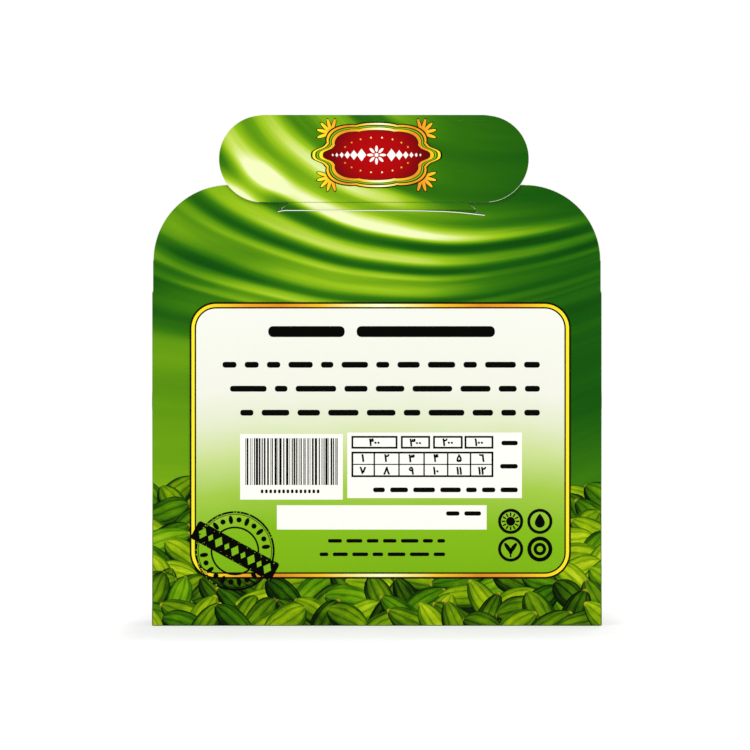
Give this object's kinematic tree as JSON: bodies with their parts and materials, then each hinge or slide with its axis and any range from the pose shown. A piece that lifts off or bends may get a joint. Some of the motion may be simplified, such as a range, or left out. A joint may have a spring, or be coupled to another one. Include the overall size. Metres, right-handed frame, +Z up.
{
  "type": "printed folding carton for green cardamom pods",
  "caption": "Printed paperboard spice carton with a hinged lid, a round-ended tuck-in closure flap and a heap of green pods inside.",
  "frame": {"origin": "middle of the footprint, on the surface that the carton stands on", "axes": "+Z up; the back panel with the closure flap faces -Y; +X is to the right when the back panel is looked at"},
  "size_m": [0.12, 0.0314, 0.1365],
  "materials": {
    "printed_board": "gloss varnished offset print on folding boxboard",
    "bare_board": "unprinted inside of folding boxboard, matte",
    "cardamom_pods": "dry papery husk, matte"
  },
  "bodies": {
    "root": {"back_panel": "printed_board", "front_panel": "printed_board", "left_side_panel": "printed_board", "right_side_panel": "printed_board", "bottom_outer_flap": "printed_board", "bottom_inner_flap": "bare_board", "bottom_dust_flap_left": "bare_board", "bottom_dust_flap_right": "bare_board", "glue_seam_flap": "bare_board", "left_dust_flap": "bare_board", "right_dust_flap": "bare_board", "pod_filling": "cardamom_pods"},
    "lid": {"lid_roof": "printed_board", "lid_header": "printed_board"},
    "flap": {"closure_flap": "printed_board", "tuck_tongue": "printed_board"}
  },
  "joints": [
    {"name": "lid_fold", "type": "hinge", "parent": "root", "child": "lid", "pos_m": [0, 0.01574, 0.0903], "axis": [-1, 0, 0], "range_deg": [0, 100]},
    {"name": "flap_fold", "type": "hinge", "parent": "lid", "child": "flap", "pos_m": [-0.0008, -0.01265, 0.1364], "axis": [-1, 0, 0], "range_deg": [0, 165], "deforming": ["tuck_tongue"]}
  ],
  "couplings": [
    {"joint": "flap_fold", "follows": "lid_fold", "ratio": 1.65}
  ]
}
